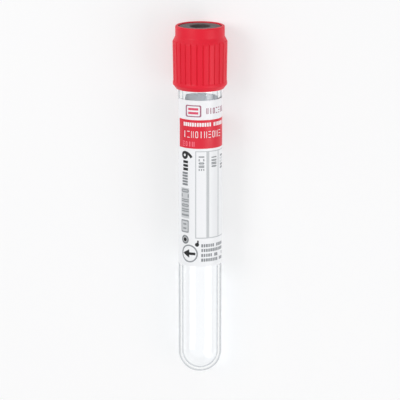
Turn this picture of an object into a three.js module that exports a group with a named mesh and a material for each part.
// A capped blood collection tube, 13 x 100 mm, lying on its side as it comes to rest on a bench:
// the ribbed safety cap and the round end of the tube touch the bench, so the axis rises a little
// towards the cap. Millimetres, +Z up, the tube along Y with its cap towards +Y and its label up.
// The origin is under the middle of the whole part, on the bench.
import * as THREE from "three";

// Driving dimensions. Heights are measured along the tube's own axis, from its round end.
const TUBE_RADIUS = 6.5;
const TUBE_WALL = 1;
const TUBE_LENGTH = 100;
const TUBE_LIP = 0.3; // rounding of the mouth's edges

const TOTAL_LENGTH = 107; // tube and cap together

const CAP_HEIGHT = 19;
const COLLAR_RADIUS = 7.4; // the plain upper part of the cap
const COLLAR_HEIGHT = 3.2;
const SHOULDER_HEIGHT = 1.6; // the slope from the collar out to the ribs
const RIB_RADIUS = 8.25;
const RIB_DEPTH = 0.28;
const RIB_COUNT = 28; // a multiple of four, so that one rib faces each of the four sides
const RIB_FOOT = 2.4; // the ribs end this far above the cap's foot
const GROOVE_WIDTH = 0.5; // between two ribs, at their tops
const GROOVE_FLOOR_WIDTH = 0.18;
const BEAD_RADIUS = 8.15; // the plain ring below the ribs
const CHAMFER_HEIGHT = 1.3;
const FOOT_RADIUS = 7.15;
const CAP_BORE = 6.75; // runs over the tube with a quarter of a millimetre to spare
const COLLAR_BORE = 6.5; // holds the stopper's flange
const CATCH_RADIUS = 5.95; // the inner ring that snaps into the stopper's groove
const CATCH_HEIGHT = 1;

const FLANGE_RADIUS = 6.35;
const FLANGE_SEAT = 0.2; // the flange's height above the tube's mouth
const FLANGE_RECESS = 0.3; // the rubber's face below the cap's rim
const GROOVE_RADIUS = 5.8; // the stopper's groove for the cap's catch
const PLUG_RADIUS = 5.2;
const PLUG_LENGTH = 10.8; // below the flange
const SEAL_RADIUS = 5.42; // the plug's sealing rings
const SEAL_HEIGHT = 0.6;
const SEAL_COUNT = 3;
const WELL_RADIUS = 3; // the needle's target in the top face
const WELL_DEPTH = 2.2;
const HOLLOW_RADIUS = 3.3; // under the plug
const SEPTUM = 5.4; // rubber left between the well and the hollow

const LABEL_LOW = 34.4;
const LABEL_HIGH = 85.3;
const LABEL_LEFT_DEG = -78; // the label's left edge, turned from straight up
const LABEL_WIDTH = 36; // round the tube, which leaves a clear strip to read the fill through
const LABEL_THICKNESS = 0.1;
const LABEL_CORNER = 1.2;
const LABEL_GAP = 0.02; // between the layers on the tube
const BAND_LOW = 70.7;
const BAND_HIGH = 79.4;
const BAND_MARGIN = 1.4; // bare film at both ends of the colour band
const INK_THICKNESS = 0.03;

const ROUND_STEPS = 48;
const DOME_STEPS = 8;

// Three.js turns a lathe profile about Y, so every piece is drawn upright on Y first.
const point = (r, y) => new THREE.Vector2(r, y);
const lathe = (profile) => new THREE.LatheGeometry(profile, ROUND_STEPS);

// Points of a quarter circle from the axis out to the side of a round end.
function dome(radius, centre) {
  return Array.from({ length: DOME_STEPS + 1 }, (_, i) => {
    const turn = ((i / DOME_STEPS) * Math.PI) / 2;
    return point(radius * Math.sin(turn), centre - radius * Math.cos(turn));
  });
}

// Joins rings of points, all with the same count, into a surface that closes on itself both ways.
function closedRings(rings) {
  const count = rings[0].length;
  const index = [];
  rings.forEach((_, i) => {
    const here = i * count;
    const next = ((i + 1) % rings.length) * count;
    for (let j = 0; j < count; j++) {
      const k = (j + 1) % count;
      index.push(here + j, here + k, next + k, here + j, next + k, next + j);
    }
  });
  const geometry = new THREE.BufferGeometry();
  geometry.setAttribute(
    "position",
    new THREE.Float32BufferAttribute(rings.flat(2), 3),
  );
  geometry.setIndex(index);
  geometry.computeVertexNormals();
  return geometry;
}

// ---- tube: clear wall, open mouth, hemispherical end
function tubeGeometry() {
  const bore = TUBE_RADIUS - TUBE_WALL;
  return lathe([
    ...dome(TUBE_RADIUS, TUBE_RADIUS),
    point(TUBE_RADIUS, TUBE_LENGTH - TUBE_LIP),
    point(TUBE_RADIUS - TUBE_LIP, TUBE_LENGTH),
    point(bore + TUBE_LIP, TUBE_LENGTH),
    point(bore, TUBE_LENGTH - TUBE_LIP),
    ...dome(bore, TUBE_RADIUS).reverse(),
  ]);
}

// ---- stopper: rubber flange on the mouth, plug in the bore, needle well on top
function stopperGeometry() {
  const seat = TUBE_LENGTH + FLANGE_SEAT;
  const face = TOTAL_LENGTH - FLANGE_RECESS;
  const foot = seat - PLUG_LENGTH;
  const wellFloor = face - WELL_DEPTH;
  const ceiling = wellFloor - SEPTUM;
  const [grooveLow, grooveHigh] = catchHeights().map((y, i) =>
    i ? y + 0.15 : y - 0.15,
  );
  const seals = Array.from({ length: SEAL_COUNT }, (_, i) => {
    const middle = foot + ((i + 0.75) * PLUG_LENGTH) / (SEAL_COUNT + 0.5);
    return [
      point(PLUG_RADIUS, middle - SEAL_HEIGHT),
      point(SEAL_RADIUS, middle - SEAL_HEIGHT / 2),
      point(SEAL_RADIUS, middle + SEAL_HEIGHT / 2),
      point(PLUG_RADIUS, middle + SEAL_HEIGHT),
    ];
  }).flat();
  return lathe([
    point(0, ceiling),
    point(HOLLOW_RADIUS * 0.5, ceiling - 0.3),
    point(HOLLOW_RADIUS * 0.85, ceiling - 1.1),
    point(HOLLOW_RADIUS, ceiling - 2.3),
    point(HOLLOW_RADIUS, foot + 0.4),
    point(HOLLOW_RADIUS + 0.3, foot),
    point(PLUG_RADIUS - 0.6, foot),
    point(PLUG_RADIUS, foot + 0.9),
    ...seals,
    point(PLUG_RADIUS, seat),
    point(FLANGE_RADIUS, seat),
    point(FLANGE_RADIUS, grooveLow),
    point(GROOVE_RADIUS, grooveLow),
    point(GROOVE_RADIUS, grooveHigh),
    point(FLANGE_RADIUS, grooveHigh),
    point(FLANGE_RADIUS, face - 0.25),
    point(FLANGE_RADIUS - 0.25, face),
    point(WELL_RADIUS + 0.2, face),
    point(WELL_RADIUS - 0.1, face - 0.25),
    point(WELL_RADIUS * 0.85, face - WELL_DEPTH * 0.55),
    point(WELL_RADIUS * 0.6, face - WELL_DEPTH * 0.88),
    point(0, wellFloor),
  ]);
}

// The cap's catch sits inside its shoulder.
function catchHeights() {
  const low = TOTAL_LENGTH - COLLAR_HEIGHT - 1;
  return [low, low + CATCH_HEIGHT];
}

// ---- cap: plain collar, sloped shoulder, ribbed skirt, bead and chamfered foot
function capGeometry() {
  const top = TOTAL_LENGTH;
  const foot = TOTAL_LENGTH - CAP_HEIGHT;
  const collarFoot = top - COLLAR_HEIGHT;
  const ribTop = collarFoot - SHOULDER_HEIGHT;
  const grooveRadius = RIB_RADIUS - RIB_DEPTH;
  const shoulderShare =
    (RIB_RADIUS - grooveRadius) / (RIB_RADIUS - COLLAR_RADIUS);
  const grooveTop = ribTop + SHOULDER_HEIGHT * shoulderShare;
  const [catchLow, catchHigh] = catchHeights();

  // One rib pitch is a groove floor between two flanks, then the rib's flat top.
  const pitch = (2 * Math.PI) / RIB_COUNT;
  const flank = GROOVE_WIDTH / 2 / RIB_RADIUS;
  const floor = GROOVE_FLOOR_WIDTH / 2 / RIB_RADIUS;
  const section = Array.from({ length: RIB_COUNT }, (_, i) =>
    [-flank, -floor, floor, flank].map((offset) => ({
      angle: (i + 0.5) * pitch + offset,
      onRib: Math.abs(offset) === flank,
    })),
  ).flat();
  const ring = (y, radius, inGroove = radius) =>
    section.map(({ angle, onRib }) => {
      const r = onRib ? radius : inGroove;
      return [r * Math.sin(angle), y, r * Math.cos(angle)];
    });

  return closedRings([
    ring(foot, FOOT_RADIUS),
    ring(foot + CHAMFER_HEIGHT, BEAD_RADIUS),
    ring(foot + RIB_FOOT - 0.5, BEAD_RADIUS),
    ring(foot + RIB_FOOT - 0.3, grooveRadius),
    ring(foot + RIB_FOOT, RIB_RADIUS, grooveRadius),
    ring(ribTop, RIB_RADIUS, grooveRadius),
    ring(grooveTop, grooveRadius),
    ring(collarFoot, COLLAR_RADIUS),
    ring(top - 0.3, COLLAR_RADIUS),
    ring(top - 0.09, COLLAR_RADIUS - 0.1),
    ring(top, COLLAR_RADIUS - 0.3),
    ring(top, COLLAR_BORE + 0.1),
    ring(top - 0.1, COLLAR_BORE),
    ring(catchHigh + 0.2, COLLAR_BORE),
    ring(catchHigh, CATCH_RADIUS),
    ring(catchLow, CATCH_RADIUS),
    ring(catchLow - 0.2, COLLAR_BORE),
    ring(TUBE_LENGTH + 1.2, COLLAR_BORE),
    ring(TUBE_LENGTH + 0.9, CAP_BORE),
    ring(foot + 0.4, CAP_BORE),
    ring(foot, CAP_BORE + 0.15),
  ]);
}

// ---- label: a thin sheet bent round the tube, with rounded corners.
// Its edges run up one side and down the other, so each column of the sheet has a low and a high end.
function wrappedSheet({ innerRadius, thickness, left, width, low, high, corner }) {
  const start = left / innerRadius;
  const end = start + width / innerRadius;
  const step = (2 * Math.PI) / ROUND_STEPS;
  const cornerTurns = [0, 0.1, 0.3, 0.6, 1].map((t) => (t * corner) / innerRadius);
  const angles = new Set([
    ...cornerTurns.map((turn) => start + turn),
    ...cornerTurns.map((turn) => end - turn),
  ]);
  for (let k = Math.ceil(start / step); k * step < end; k++) angles.add(k * step);
  const columns = [...angles].sort((a, b) => a - b);

  // How far a rounded corner pulls the sheet's ends in at this angle.
  const inset = (angle) => {
    if (!corner) return 0;
    const fromEnd = Math.min(angle - start, end - angle) * innerRadius;
    const across = Math.max(0, corner - fromEnd);
    return corner - Math.sqrt(Math.max(0, corner ** 2 - across ** 2));
  };
  const ring = columns.map((angle) => {
    const at = (r, y) => [r * Math.sin(angle), y, r * Math.cos(angle)];
    const outer = innerRadius + thickness;
    const cut = inset(angle);
    return [
      at(innerRadius, low + cut),
      at(outer, low + cut),
      at(outer, high - cut),
      at(innerRadius, high - cut),
    ];
  });

  const index = [];
  for (let i = 0; i + 1 < ring.length; i++) {
    for (let j = 0; j < 4; j++) {
      const [a, b] = [i * 4 + j, i * 4 + ((j + 1) % 4)];
      index.push(a, a + 4, b + 4, a, b + 4, b);
    }
  }
  const last = (ring.length - 1) * 4;
  index.push(0, 1, 2, 0, 2, 3, last, last + 2, last + 1, last, last + 3, last + 2);
  const geometry = new THREE.BufferGeometry();
  geometry.setAttribute(
    "position",
    new THREE.Float32BufferAttribute(ring.flat(2), 3),
  );
  geometry.setIndex(index);
  geometry.computeVertexNormals();
  return geometry;
}

const labelRadius = TUBE_RADIUS + LABEL_GAP;
const labelLeft = THREE.MathUtils.degToRad(LABEL_LEFT_DEG) * labelRadius;
const labelGeometry = () =>
  wrappedSheet({
    innerRadius: labelRadius,
    thickness: LABEL_THICKNESS,
    left: labelLeft,
    width: LABEL_WIDTH,
    low: LABEL_LOW,
    high: LABEL_HIGH,
    corner: LABEL_CORNER,
  });
const bandGeometry = () =>
  wrappedSheet({
    innerRadius: labelRadius + LABEL_THICKNESS + LABEL_GAP,
    thickness: INK_THICKNESS,
    left: labelLeft + BAND_MARGIN,
    width: LABEL_WIDTH - 2 * BAND_MARGIN,
    low: BAND_LOW,
    high: BAND_HIGH,
    corner: 0,
  });

// ---- materials
const finish = (color, roughness, extra = {}) =>
  new THREE.MeshStandardMaterial({ color, roughness, metalness: 0, ...extra });
const MATERIALS = {
  tube: finish(0xe9eef0, 0.08, { transparent: true, opacity: 0.35 }),
  label: finish(0xf2f3f7, 0.45),
  label_band: finish(0xe8354a, 0.4),
  stopper: finish(0x44383a, 0.75),
  cap: finish(0xe62d40, 0.42),
};

// ---- scene graph
const piece = (name, geometry) => {
  const mesh = new THREE.Mesh(geometry, MATERIALS[name]);
  mesh.name = name;
  return mesh;
};
const tubeGroup = new THREE.Group();
tubeGroup.add(
  piece("tube", tubeGeometry()),
  piece("label", labelGeometry()),
  piece("label_band", bandGeometry()),
);
const closureGroup = new THREE.Group();
closureGroup.add(
  piece("stopper", stopperGeometry()),
  piece("cap", capGeometry()),
);

// The cap rests on the foot of one rib's flat top and the tube on its round end, which sets the tilt.
const ribFlat =
  RIB_RADIUS * Math.cos(Math.PI / RIB_COUNT - GROOVE_WIDTH / 2 / RIB_RADIUS);
const ribFoot = TOTAL_LENGTH - CAP_HEIGHT + RIB_FOOT;
const tilt = Math.atan2(ribFlat - TUBE_RADIUS, ribFoot - TUBE_RADIUS);
const lying = new THREE.Group();
lying.add(tubeGroup, closureGroup);
lying.rotation.x = tilt;

const part = new THREE.Group();
part.add(lying);
const box = new THREE.Box3().setFromObject(part, true);
const middle = box.getCenter(new THREE.Vector3());
lying.position.set(-middle.x, -middle.y, -box.min.z);

export default part;
